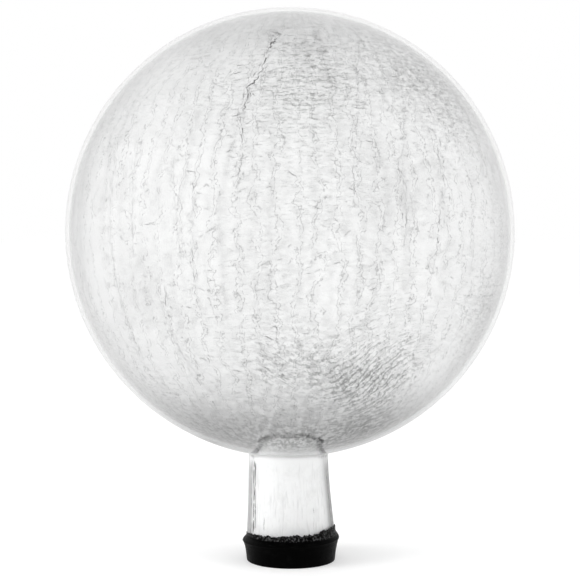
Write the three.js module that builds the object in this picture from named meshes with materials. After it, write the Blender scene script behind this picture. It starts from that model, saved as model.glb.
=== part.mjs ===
// Garden gazing ball: a mouth-blown globe of cased crackle glass with a short flared neck,
// closed at its foot by a rubber cap that pulls off.
// Sizes are in millimetres and +Z is up. The origin lies on the surface that the ball stands on,
// under the middle of the globe.

import * as THREE from "three";

// Globe: a clear outer casing over a crackled inner layer
const globeDiameter = 254;
const casingWall = 2;
const crackleWall = 1;
const layerClearance = 0.3;

// Neck: drawn out of the casing, flared towards its fire-polished rim
const neckLength = 52.4;
const neckRootDiameter = 45.7;
const neckRimDiameter = 50.2;
const neckWall = 3;
const neckGripMargin = 2.7;
const rootFillet = 2.5;
const crackleCollarLength = 3;

// A blown neck never stands quite straight under its globe
const neckRootSway = -0.9;
const neckRimSway = 0.5;
const swayRunout = 15;

// Rubber cap: solid foot, hollow plug inside the neck, stretched skirt with a flared lip outside it
const capClearance = 0.3;
const capFloor = 3.2;
const capSeatHeight = 7.7;
const footTaper = 1.2;
const footEdge = 0.8;
const plugRise = 2.3;
const plugWall = 2.6;
const plugClearance = 0.6;
const plugChamfer = 0.6;
const skirtWall = 1.2;
const creaseRise = 1.3;
const creaseStep = 0.2;
const creaseWidth = 0.5;
const lipFlare = 1.2;
const lipRise = 3.3;
const lipTipHeight = 0.7;
const mouthRise = 3;
const mouthEdge = 0.4;
const mouthSkew = 2.6;

// Shapes of curves, and steps of the revolved profiles
const flareExponent = 1.5;
const skirtBowShare = 0.62;
const lipBowShare = 0.45;
const turnSegments = 48;
const crownSteps = 11;
const bowlSteps = 9;
const filletSteps = 4;
const neckSteps = 7;
const collarSteps = 1;
const rimSteps = 4;
const edgeSteps = 3;
const curveSteps = 4;

// Derived sizes of the cap's outside, with heights counted from its foot
const skirtBoreRadius = neckRimDiameter / 2 + capClearance;
const creaseRadius = skirtBoreRadius + skirtWall;
const footRadius = creaseRadius - footTaper;
const lipRadius = creaseRadius + lipFlare;
const rimHeight = capSeatHeight + capClearance;
const creaseHeight = capSeatHeight + creaseRise;
const lipHeight = creaseHeight + lipRise;
const mouthHeight = lipHeight + mouthRise;

// Derived sizes of the glass, with heights counted from the neck's rim
const globeRadius = globeDiameter / 2;
const neckRootRadius = neckRootDiameter / 2;
const neckRimRadius = neckRimDiameter / 2;
const neckGripLength = mouthHeight - rimHeight + neckGripMargin;
const filletReach = globeRadius + rootFillet;
const filletCentreRadius = neckRootRadius + rootFillet;
const globeCentreHeight = neckLength + Math.sqrt(filletReach ** 2 - filletCentreRadius ** 2);
const filletCentre = new THREE.Vector2(filletCentreRadius, neckLength);
const filletPolarAngle = Math.PI - Math.asin(filletCentreRadius / filletReach);

// Derived sizes of the cap's plug
const plugRadius = neckRimRadius - neckWall - plugClearance;
const recessRadius = plugRadius - plugWall;
const plugTop = capSeatHeight + plugRise;

const { clamp, lerp, smoothstep } = THREE.MathUtils;

// Outer radius of the neck at a height above its rim: straight where the cap grips it, then
// narrowing along a soft curve to the root.
function neckRadiusAt(height) {
  const taperShare = clamp((neckLength - height) / (neckLength - neckGripLength), 0, 1);
  return lerp(neckRootRadius, neckRimRadius, taperShare ** flareExponent);
}

// Sideways sway of the glass at a height above the rim. It dies out in the underside of the globe.
function swayAt(height) {
  const alongNeck = smoothstep(height, 0, neckLength);
  const runout = 1 - smoothstep(height, neckLength, neckLength + swayRunout);
  return lerp(neckRimSway, neckRootSway, alongNeck) * runout;
}

// Angle from the top of the globe at a step down its side: one step lies on its widest ring.
function polarAngleAt(step) {
  if (step <= crownSteps) {
    return (Math.PI / 2) * (step / crownSteps);
  }
  return lerp(Math.PI / 2, filletPolarAngle, (step - crownSteps) / bowlSteps);
}

// The line that runs at a depth under the outer surface, from the top of the globe, round the
// fillet at the neck's root and down the neck to lowestHeight.
function lineAtDepth(globeDepth, neckDepth, lowestHeight, steps) {
  const points = [];
  const radius = globeRadius - globeDepth;
  points.push(new THREE.Vector2(0, globeCentreHeight + radius));
  for (let step = 1; step <= crownSteps + bowlSteps; step += 1) {
    const angle = polarAngleAt(step);
    points.push(new THREE.Vector2(
      radius * Math.sin(angle),
      globeCentreHeight + radius * Math.cos(angle),
    ));
  }
  const startAngle = filletPolarAngle - Math.PI / 2;
  for (let step = 1; step <= filletSteps; step += 1) {
    const share = step / filletSteps;
    const angle = lerp(Math.PI - startAngle, Math.PI, share);
    const reach = rootFillet + lerp(globeDepth, neckDepth, share);
    points.push(new THREE.Vector2(
      filletCentre.x + reach * Math.cos(angle),
      filletCentre.y + reach * Math.sin(angle),
    ));
  }
  for (let step = 1; step <= steps; step += 1) {
    const height = lerp(neckLength, lowestHeight, step / steps);
    points.push(new THREE.Vector2(neckRadiusAt(height) - neckDepth, height));
  }
  return points;
}

// A rounded edge of the wall from its inner line to its outer line, without the end points.
function roundedEdge(innerEnd, outerEnd, steps) {
  const points = [];
  const centre = innerEnd.clone().add(outerEnd).multiplyScalar(1 / 2);
  const radius = innerEnd.distanceTo(outerEnd) / 2;
  for (let step = 1; step < steps; step += 1) {
    const angle = Math.PI * (1 + step / steps);
    points.push(new THREE.Vector2(
      centre.x + radius * Math.cos(angle),
      centre.y + radius * Math.sin(angle),
    ));
  }
  return points;
}

// The section of a glass shell: inner line down, rounded edge, outer line up.
function shellSection(innerLine, outerLine, steps) {
  const edge = roundedEdge(innerLine.at(-1), outerLine.at(-1), steps);
  return [...innerLine, ...edge, ...outerLine.reverse()];
}

// Turns a section about the upright axis.
function revolve(section) {
  const geometry = new THREE.LatheGeometry(section, turnSegments);
  geometry.rotateX(Math.PI / 2);
  return geometry;
}

// Moves every point of a geometry by a function of where it is.
function reshape(geometry, move) {
  const positions = geometry.getAttribute("position");
  const point = new THREE.Vector3();
  for (let index = 0; index < positions.count; index += 1) {
    point.fromBufferAttribute(positions, index);
    move(point);
    positions.setXYZ(index, point.x, point.y, point.z);
  }
  geometry.computeVertexNormals();
  return geometry;
}

function swayGlass(point) {
  point.x += swayAt(point.z);
}

// Clear casing of the globe, with the neck that is drawn out of it.
function casingGeometry() {
  const rimRadius = neckWall / 2;
  const outerLine = lineAtDepth(0, 0, rimRadius, neckSteps);
  const innerLine = lineAtDepth(casingWall, neckWall, rimRadius, neckSteps);
  return reshape(revolve(shellSection(innerLine, outerLine, rimSteps)), swayGlass);
}

// Crackled layer under the casing. It ends in a short collar inside the neck's root.
function crackleGeometry() {
  const inset = layerClearance + crackleWall;
  const lowestHeight = neckLength - crackleCollarLength;
  const outerLine = lineAtDepth(
    casingWall + layerClearance,
    neckWall + layerClearance,
    lowestHeight,
    collarSteps,
  );
  const innerLine = lineAtDepth(casingWall + inset, neckWall + inset, lowestHeight, collarSteps);
  return reshape(revolve(shellSection(innerLine, outerLine, edgeSteps)), swayGlass);
}

// Section of the cap: flat foot, bowed skirt, crease, flared lip, mouth, bore, seat for the rim,
// and the hollow plug.
function capSection() {
  const mouthOuter = skirtBoreRadius + mouthEdge;
  const bowRadius = lerp(footRadius, creaseRadius, 1 - skirtBowShare);
  const bowHeight = creaseHeight * skirtBowShare;
  const stepRadius = creaseRadius + creaseStep;
  const stepHeight = creaseHeight + creaseWidth;
  const outline = new THREE.Path();
  outline.moveTo(0, 0);
  outline.lineTo(footRadius - footEdge, 0);
  outline.quadraticCurveTo(footRadius, 0, footRadius, footEdge);
  outline.quadraticCurveTo(bowRadius, bowHeight, creaseRadius, creaseHeight);
  outline.lineTo(stepRadius, stepHeight);
  outline.quadraticCurveTo(
    lerp(stepRadius, lipRadius, lipBowShare),
    lipHeight - lipTipHeight,
    lipRadius,
    lipHeight,
  );
  outline.quadraticCurveTo(lipRadius, lipHeight + lipTipHeight, mouthOuter, mouthHeight);
  outline.quadraticCurveTo(skirtBoreRadius, mouthHeight, skirtBoreRadius, mouthHeight - mouthEdge);
  outline.lineTo(skirtBoreRadius, capSeatHeight);
  outline.lineTo(plugRadius, capSeatHeight);
  outline.lineTo(plugRadius, plugTop - plugChamfer);
  outline.lineTo(plugRadius - plugChamfer, plugTop);
  outline.lineTo(recessRadius, plugTop);
  outline.quadraticCurveTo(recessRadius, capFloor, recessRadius - plugWall, capFloor);
  outline.lineTo(0, capFloor);
  return outline.getPoints(curveSteps);
}

// The skirt was pushed on a little askew, so its mouth stands higher on the right.
function liftMouth(point) {
  const upSkirt = clamp((point.z - capSeatHeight) / (mouthHeight - capSeatHeight), 0, 1);
  const onSkirt = Math.hypot(point.x, point.y) > neckRimRadius ? 1 : 0;
  point.z += (mouthSkew / 2) * (point.x / lipRadius) * upSkirt * onSkirt;
}

function capGeometry() {
  return reshape(revolve(capSection()), liftMouth);
}

function namedMesh(name, geometry, material) {
  const mesh = new THREE.Mesh(geometry, material);
  mesh.name = name;
  return mesh;
}

const clearGlass = new THREE.MeshStandardMaterial({
  color: 0xf4f6f6,
  roughness: 0.03,
  metalness: 0,
  transparent: true,
  opacity: 0.3,
});
const crackleGlass = new THREE.MeshStandardMaterial({
  color: 0xe4e6e6,
  roughness: 0.12,
  metalness: 0,
  transparent: true,
  opacity: 0.45,
});
const blackRubber = new THREE.MeshStandardMaterial({
  color: 0x121212,
  roughness: 0.5,
  metalness: 0,
});

const glass = new THREE.Group();
glass.position.z = rimHeight;
glass.add(namedMesh("glass_globe", casingGeometry(), clearGlass));
glass.add(namedMesh("crackle_layer", crackleGeometry(), crackleGlass));

const cap = namedMesh("rubber_cap", capGeometry(), blackRubber);
cap.position.x = neckRimSway;

const gazingBall = new THREE.Group();
gazingBall.add(glass, cap);

export default gazingBall;
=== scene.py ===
"""Garden gazing ball: a globe of cased crackle glass on a flared neck, with a rubber cap.

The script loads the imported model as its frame, turns fine shapes of the glass and the rubber
round it, dresses them and sets up a plain pale studio. Lengths are in metres and +Z is up.
"""

from __future__ import annotations

import logging
import math
import random
from collections.abc import Callable, Sequence
from dataclasses import dataclass
from enum import Enum

import bpy
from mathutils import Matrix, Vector, noise


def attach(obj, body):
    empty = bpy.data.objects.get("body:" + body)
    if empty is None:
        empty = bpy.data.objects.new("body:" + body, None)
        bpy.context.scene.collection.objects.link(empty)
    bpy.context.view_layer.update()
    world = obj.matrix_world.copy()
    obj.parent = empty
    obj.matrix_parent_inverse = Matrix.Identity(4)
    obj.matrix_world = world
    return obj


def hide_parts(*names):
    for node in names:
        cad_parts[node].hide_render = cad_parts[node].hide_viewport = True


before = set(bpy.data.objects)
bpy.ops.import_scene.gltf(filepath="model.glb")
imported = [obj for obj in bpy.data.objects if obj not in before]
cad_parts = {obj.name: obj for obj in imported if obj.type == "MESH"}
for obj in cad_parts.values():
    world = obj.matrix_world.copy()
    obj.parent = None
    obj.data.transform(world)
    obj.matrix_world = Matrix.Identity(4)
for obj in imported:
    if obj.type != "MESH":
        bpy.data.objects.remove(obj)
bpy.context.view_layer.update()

FULL_TURN = 2 * math.pi
QUARTER_TURN = math.pi / 2
MILLIMETRES = (1000, 1000, 1000)
ORIGIN = (0, 0, 0)
LEVEL = (1, 1, 0)
UPRIGHT = (0, 0, 1)
INWARDS = (0, 1, 0)

log = logging.getLogger("gazing_ball")

Pair = tuple[float, float]
Point = tuple[float, float, float]
Colour = tuple[float, float, float, float]
Faces = list[tuple[int, ...]]
Section = list[Pair]
Course = Sequence[Pair]
Warp = Callable[[float, float, float], Point]


class Body(Enum):
    """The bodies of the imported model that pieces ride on."""

    GLOBE = "globe"
    CAP = "cap"


class Slot(Enum):
    """The record's material slots."""

    CLEAR_GLASS = "clear_glass"
    CRACKLE_GLASS = "crackle_glass"
    BLACK_RUBBER = "black_rubber"


class Port(Enum):
    """The kinds of sockets that the groups have."""

    VALUE = "NodeSocketFloat"
    VECTOR = "NodeSocketVector"


def lerp(start: float, end: float, share: float) -> float:
    """Returns the value at a share of the way from start to end."""
    return start + (end - start) * share


def between(start: Pair, end: Pair, share: float) -> Pair:
    """Returns the point at a share of the way from start to end."""
    return lerp(start[0], end[0], share), lerp(start[1], end[1], share)


def clamp(share: float) -> float:
    """Keeps a share between 0 and 1."""
    return min(max(share, 0.0), 1.0)


def shares(steps: int) -> list[float]:
    """The share of the way that each of a number of even steps ends at."""
    return [step / steps for step in range(1, steps + 1)]


def smoothstep(value: float, low: float, high: float) -> float:
    """Eases from 0 to 1 as a value goes from low to high."""
    share = clamp((value - low) / (high - low))
    return share * share * (3 - 2 * share)


def grey(tone: float) -> Colour:
    """Returns a plain grey."""
    return (tone, tone, tone, 1)


def outwards(longitude: float, latitude: float = 0.0) -> Point:
    """The way outwards at degrees to the right of the front and above the widest line."""
    turn, lift = math.radians(longitude), math.radians(latitude)
    return math.sin(turn) * math.cos(lift), -math.cos(turn) * math.cos(lift), math.sin(lift)


def quadratic(start: Pair, control: Pair, end: Pair, steps: int) -> Section:
    """Points along a quadratic curve, without its start and with its end."""
    return [between(between(start, control, share), between(control, end, share), share)
            for share in shares(steps)]


def rounded_edge(inner: Pair, outer: Pair, steps: int) -> Section:
    """Points round the lower edge of a wall, from its inner to its outer line.

    Args:
        inner: The last point of the inner line.
        outer: The last point of the outer line.
        steps: How many steps the half circle has.

    Returns:
        The points between the two ends.
    """
    centre = ((inner[0] + outer[0]) / 2, (inner[1] + outer[1]) / 2)
    radius = math.dist(inner, outer) / 2
    angles = [math.pi * (1 + share) for share in shares(steps)[:-1]]
    return [(centre[0] + radius * math.cos(angle), centre[1] + radius * math.sin(angle))
            for angle in angles]


def add_object(name: str, data: bpy.types.ID) -> bpy.types.Object:
    """Adds an object with its data to the scene and returns it."""
    made = bpy.data.objects.new(name, data)
    bpy.context.scene.collection.objects.link(made)
    return made


def add_mesh(name: str, points: Sequence[Sequence[float]], faces: Faces) -> bpy.types.Object:
    """Adds an object with a mesh of its own.

    Args:
        name: The name of both.
        points: The mesh's points in the row frame.
        faces: Its faces, as numbers of points.

    Returns:
        The object.
    """
    mesh = bpy.data.meshes.new(name)
    mesh.from_pydata(points, [], faces)
    mesh.validate()
    return add_object(name, mesh)


def turned_mesh(name: str, section: Section, turns: int, warp: Warp) -> bpy.types.Object:
    """Turns a section that starts and ends on the axis into a closed mesh.

    Args:
        name: The name of the new piece.
        section: Pairs of radius and height, the solid on the left as they go.
        turns: How many steps the turn has.
        warp: Gives the place of a point from its radius, height and turning angle.

    Returns:
        The new object, with its mesh in the row frame.
    """
    points: list[Point] = []
    rings: list[list[int]] = []
    for radius, height in section:
        around = turns if radius > 0 else 1
        rings.append([len(points) + turn for turn in range(around)])
        points.extend(warp(radius, height, FULL_TURN * turn / turns) for turn in range(around))
    faces: Faces = []
    for low, high in zip(rings, rings[1:]):
        for turn in range(turns):
            after = (turn + 1) % turns
            if len(low) == 1:
                faces.append((low[0], high[after], high[turn]))
            elif len(high) == 1:
                faces.append((low[turn], low[after], high[0]))
            else:
                faces.append((low[turn], low[after], high[after], high[turn]))
    piece = add_mesh(name, points, faces)
    piece.data.shade_smooth()
    return piece


@dataclass(frozen=True)
class Strand:
    """A thin flaw in the glass: the points it passes, each with the way outwards, and its size."""

    points: Sequence[tuple[Vector, Vector]]
    half_width: float
    half_thickness: float
    tilt: float
    uneven: Pair = (0.7, 1.2)

    def sliver(self, draw: random.Random) -> tuple[list[Vector], Faces]:
        """Shapes the strand as a closed sliver that is pointed at both ends.

        Args:
            draw: Varies the width along it.

        Returns:
            Its points in the row frame and its faces.
        """
        places = [point for point, _ in self.points]
        points = [places[0]]
        for index in range(1, len(places) - 1):
            out = self.points[index][1]
            along = (places[index + 1] - places[index - 1]).normalized()
            side = out.cross(along).normalized()
            long_way = out * math.cos(self.tilt) + side * math.sin(self.tilt)
            short_way = out * math.sin(self.tilt) - side * math.cos(self.tilt)
            wide = long_way * (self.half_width * draw.uniform(*self.uneven))
            thick = short_way * self.half_thickness
            place = places[index]
            points += [place + wide, place + thick, place - wide, place - thick]
        points.append(places[-1])
        faces: Faces = []
        last = len(points) - 1
        for corner in range(4):
            after = (corner + 1) % 4
            faces.append((0, 1 + corner, 1 + after))
            for low in range(1, last - 4, 4):
                high = low + 4
                faces.append((low + corner, high + corner, high + after, low + after))
            faces.append((last, last - 4 + after, last - 4 + corner))
        return points, faces


def sliver_mesh(name: str, strands: Sequence[Strand], draw: random.Random) -> bpy.types.Object:
    """Builds one piece from strands.

    Args:
        name: The piece's name.
        strands: The strands.
        draw: Varies their widths.

    Returns:
        The piece.
    """
    points: list[Vector] = []
    faces: Faces = []
    for strand in strands:
        own_points, own_faces = strand.sliver(draw)
        faces += [tuple(len(points) + index for index in face) for face in own_faces]
        points += own_points
    return add_mesh(name, points, faces)


def settle(piece: bpy.types.Object, body: Body, slot: Slot, finishes: list[bpy.types.Material],
           *nodes: str) -> None:
    """Dresses a piece, lets it ride on its body and stand for CAD nodes.

    Args:
        piece: The piece.
        body: The body that carries it.
        slot: Not used.
        finishes: Its materials.
        nodes: The CAD nodes that it stands for.
    """
    for finish in finishes:
        piece.data.materials.append(finish)
    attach(piece, body.value)
    if nodes:
        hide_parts(*nodes)
    log.info("%s: %d faces on %s", piece.name, len(piece.data.polygons), body.value)


def use_second_finish(piece: bpy.types.Object, first: int, last: int) -> None:
    """Gives the faces from a first one up to a last one their piece's second finish."""
    for polygon in piece.data.polygons[first:last]:
        polygon.material_index = 1


@dataclass(frozen=True)
class Signal:
    """A value on its way through a node tree. Sums and products of it add the nodes for them."""

    wires: Wiring
    socket: bpy.types.NodeSocket

    def other(self, output: str) -> Signal:
        """Another output of the same node."""
        return Signal(self.wires, self.socket.node.outputs[output])

    def joined(self, operation: str, first: object, second: object) -> Signal:
        """Joins two values with a Math node, or for vectors with a Vector Math node."""
        kind = "VectorMath" if self.socket.type == "VECTOR" else "Math"
        return self.wires.node(kind, {0: first, 1: second}, operation=operation)

    def __add__(self, other: object) -> Signal:
        """The sum."""
        return self.joined("ADD", self, other)

    def __radd__(self, other: object) -> Signal:
        """The sum, with the plain value first."""
        return self.joined("ADD", other, self)

    def __sub__(self, other: object) -> Signal:
        """The difference."""
        return self.joined("SUBTRACT", self, other)

    def __rsub__(self, other: object) -> Signal:
        """The difference from a plain value."""
        return self.joined("SUBTRACT", other, self)

    def __mul__(self, other: object) -> Signal:
        """The product."""
        return self.joined("MULTIPLY", self, other)

    def __rmul__(self, other: object) -> Signal:
        """The product, with the plain value first."""
        return self.joined("MULTIPLY", other, self)

    def __truediv__(self, other: object) -> Signal:
        """The quotient."""
        return self.joined("DIVIDE", self, other)


class Wiring:
    """Adds and links the nodes of one material, world, lamp or node group."""

    def __init__(self, tree: bpy.types.NodeTree) -> None:
        """Clears the tree and keeps it."""
        self.tree = tree
        tree.nodes.clear()

    def add(self, kind: str, inputs: dict[str | int, object] | None = None,
            **settings: object) -> bpy.types.Node:
        """Adds a node.

        Args:
            kind: The node's type without its ShaderNode prefix, or in full for a group's ends.
            inputs: Plain values or signals for its inputs, by name or number.
            settings: Values of the node's own properties.

        Returns:
            The new node.
        """
        full = kind if kind.startswith("NodeGroup") else f"ShaderNode{kind}"
        made = self.tree.nodes.new(full)
        for key, value in settings.items():
            setattr(made, key, value)
        for key, value in (inputs or {}).items():
            if isinstance(value, Signal):
                self.tree.links.new(value.socket, made.inputs[key])
            else:
                made.inputs[key].default_value = value
        return made

    def node(self, kind: str, inputs: dict[str | int, object] | None = None,
             output: str | int = 0, **settings: object) -> Signal:
        """Adds a node as add does, and returns one of its outputs."""
        return Signal(self, self.add(kind, inputs, **settings).outputs[output])

    def math(self, operation: str, *values: object, clamped: bool = False) -> Signal:
        """Adds a Math node, which may keep its result between 0 and 1."""
        inputs = dict(enumerate(values))
        return self.node("Math", inputs, operation=operation, use_clamp=clamped)

    def vector(self, operation: str, *values: object, output: str = "Vector") -> Signal:
        """Adds a Vector Math node and returns one of its outputs."""
        return self.node("VectorMath", dict(enumerate(values)), output, operation=operation)

    def ramp(self, value: object, from_low: object, from_high: object, to_low: float = 0.0,
             to_high: float = 1.0) -> Signal:
        """Eases a value from one range to another with a Map Range node."""
        return self.node("MapRange", {"Value": value, "From Min": from_low, "From Max": from_high,
                                      "To Min": to_low, "To Max": to_high},
                         "Result", interpolation_type="SMOOTHSTEP")

    def blend(self, share: object, first: object, second: object) -> Signal:
        """Mixes two numbers by a share."""
        return self.node("Mix", {"Factor": share, 2: first, 3: second}, data_type="FLOAT")

    def mix(self, share: object, first: object, second: object) -> Signal:
        """Mixes two colours by a share."""
        return self.node("Mix", {"Factor": share, 6: first, 7: second}, 2, data_type="RGBA")

    def turned(self, place: Signal, angle: object, centre: Point = ORIGIN) -> Signal:
        """Turns a place about the line from the front to the back through a centre."""
        return self.node("VectorRotate", {"Vector": place, "Center": centre, "Axis": INWARDS,
                                          "Angle": angle})

    def grey(self, tone: Signal) -> Signal:
        """The grey of a tone."""
        return self.node("CombineColor", {0: tone, 1: tone, 2: tone})

    def stretch(self, across: Signal, upwards: Signal) -> Signal:
        """A vector with one value across and another upwards."""
        return self.node("CombineXYZ", {0: across, 1: across, 2: upwards})

    def part(self, vector: Signal, axis: str) -> Signal:
        """A vector's part along an axis."""
        return self.node("SeparateXYZ", {0: vector}, axis)

    def off_axis(self, place: Signal) -> Signal:
        """How far a place lies from the upright axis."""
        return self.vector("LENGTH", place * LEVEL, output="Value")

    def noise(self, place: Signal, scale: float, detail: float, roughness: float) -> Signal:
        """Adds a noise texture, which is about 0.5 on the whole."""
        return self.node("TexNoise", {"Vector": place, "Scale": scale, "Detail": detail,
                                      "Roughness": roughness})

    def group(self, tree: bpy.types.NodeTree, **inputs: object) -> Signal:
        """Places a node group with its own values and returns its first output."""
        return self.node("Group", inputs, node_tree=tree)


class Surface(Wiring):
    """The wiring of one new material, from the place on the piece to its end."""

    def __init__(self, name: str) -> None:
        """Makes the material."""
        self.material = bpy.data.materials.new(name)
        self.material.use_nodes = True
        super().__init__(self.material.node_tree)
        self.place = self.node("TexCoord", output="Object")

    def from_centre(self, centre: Vector) -> Signal:
        """The place in millimetres from a centre."""
        return (self.place - tuple(centre)) * MILLIMETRES

    def end(self, shader: Signal) -> bpy.types.Material:
        """Ends the material with a shader and returns it."""
        self.add("OutputMaterial", {"Surface": shader})
        return self.material

    def end_dull(self, inputs: dict[str, object]) -> bpy.types.Material:
        """Ends it with a solid surface and returns it."""
        return self.end(self.node("BsdfPrincipled", inputs))

    def end_glass(self, inputs: dict[str, object]) -> bpy.types.Material:
        """Ends it with glass, which is clear to shadow rays so that lamps reach through."""
        shadow = self.node("LightPath", output="Is Shadow Ray")
        return self.end(self.node("MixShader", {
            0: shadow, 1: self.node("BsdfPrincipled", inputs), 2: self.node("BsdfTransparent")}))


class Effect(Wiring):
    """A shader node group under construction, with named inputs and outputs."""

    def __init__(self, name: str, inputs: dict[str, float | Point]) -> None:
        """Makes the group's tree and its inputs.

        Args:
            name: The group's name.
            inputs: The default of each input, by name.
        """
        tree = bpy.data.node_groups.new(name, "ShaderNodeTree")
        for key, value in inputs.items():
            port = Port.VECTOR if isinstance(value, tuple) else Port.VALUE
            socket = tree.interface.new_socket(key, in_out="INPUT", socket_type=port.value)
            socket.default_value = value
        super().__init__(tree)
        start = self.add("NodeGroupInput")
        self.given = [Signal(self, start.outputs[key]) for key in inputs]

    def above(self, spread: Signal, level: Signal, softness: float = 0.05) -> Signal:
        """A mask of where a noise lies above a level, with soft ends."""
        return self.ramp(spread, level - softness, level + softness)

    def give(self, **values: Signal) -> bpy.types.NodeTree:
        """Adds and links the group's outputs and returns its tree."""
        for key in values:
            self.tree.interface.new_socket(key, in_out="OUTPUT", socket_type=Port.VALUE.value)
        self.add("NodeGroupOutput", values)
        return self.tree


class Effects:
    """The shader effects, each built once and shared by the finishes."""

    def __init__(self) -> None:
        """Builds every effect."""
        self.mottle = self.build_mottle()
        self.crazing = self.build_crazing()
        self.meridians = self.build_meridians()
        self.patch = self.build_patch()
        self.streaks = self.build_streaks()

    @staticmethod
    def build_mottle() -> bpy.types.NodeTree:
        """A soft uneven tone, as of dust, haze or rubbed places."""
        effect = Effect("mottle", {"Position": ORIGIN, "Grain": 10.0, "Low": 0.4, "High": 0.6})
        place, grain, low, high = effect.given
        spread = effect.noise(place / effect.stretch(grain, grain), 1.0, 3.0, 0.55)
        return effect.give(Amount=effect.ramp(spread, low, high))

    @staticmethod
    def build_crazing() -> bpy.types.NodeTree:
        """Broken wavy craze lines that lie along the horizontal, fork and meet, with glints."""
        effect = Effect("crazing", {"Position": ORIGIN, "Length": 9.0, "Spacing": 2.4,
                                    "Wander": 3.6, "Width": 0.3, "Broken": 0.5})
        place, length, spacing, wander, width, broken = effect.given
        place = place / effect.stretch(length, spacing)
        stray = effect.noise(place, 0.9, 5.0, 0.72) - 0.5
        rows = effect.part(place, "Z") + stray * wander
        away = effect.math("FRACT", rows) - 0.5
        line = effect.ramp(effect.math("ABSOLUTE", away), 0.0, width, 1.0, 0.0)
        beside = effect.ramp(away, width, 0.5)
        kept = effect.above(effect.noise(place, 1.7, 3.0, 0.6), broken)
        return effect.give(Lines=line * kept, Glints=beside * kept)

    @staticmethod
    def build_meridians() -> bpy.types.NodeTree:
        """Ragged lines in pairs that run down the globe and close up at its top and neck."""
        effect = Effect("meridians", {"Position": ORIGIN, "Count": 76.0, "Wander": 2.2,
                                      "Width": 0.05, "Broken": 0.45})
        place, count, wander, width, broken = effect.given
        inwards = effect.part(place, "Y")
        angle = effect.math("ARCTAN2", inwards, inwards.other("X"))
        stray = (effect.noise(place, 0.06, 4.0, 0.62) - 0.5) * wander
        kinks = effect.noise(place, 0.42, 2.0, 0.5) * 0.3
        turn = effect.math("FRACT", angle / FULL_TURN * count + (stray + kinks))
        half_pair = 0.1
        away = effect.math("ABSOLUTE", effect.math("ABSOLUTE", turn - 0.5) - half_pair)
        line = effect.ramp(away, 0.0, width, 1.0, 0.0)
        kept = effect.above(effect.noise(place, 0.22, 3.0, 0.65), broken)
        return effect.give(Lines=line * kept)

    @staticmethod
    def build_patch() -> bpy.types.NodeTree:
        """A soft round patch about a spot, 1 in its middle and 0 from its reach outwards."""
        effect = Effect("patch", {"Position": ORIGIN, "Spot": ORIGIN, "Reach": 50.0})
        place, spot, reach = effect.given
        away = effect.vector("DISTANCE", place, spot, output="Value")
        return effect.give(Amount=effect.ramp(away, reach, 0.0))

    @staticmethod
    def build_streaks() -> bpy.types.NodeTree:
        """Faint draw marks and haze that run down a neck, with small seeds among them."""
        effect = Effect("streaks", {"Position": ORIGIN, "Across": 700.0, "Along": 70.0})
        place, across, along = effect.given
        long_marks = effect.noise(place * effect.stretch(across, along), 1.0, 3.0, 0.6)
        marks = effect.ramp(long_marks, 0.5, 0.72)
        haze = effect.ramp(effect.noise(place, 160.0, 4.0, 0.65), 0.45, 0.7)
        cells = effect.node("TexVoronoi", {"Vector": place, "Scale": 420.0}, "Distance")
        few = effect.node("SeparateColor", {0: cells.other("Color")})
        seeds = effect.ramp(cells, 0.12, 0.05) * effect.ramp(few, 0.86, 0.9)
        both = effect.math("MAXIMUM", marks, haze * 0.6)
        return effect.give(Amount=effect.math("MAXIMUM", both, seeds))


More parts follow.
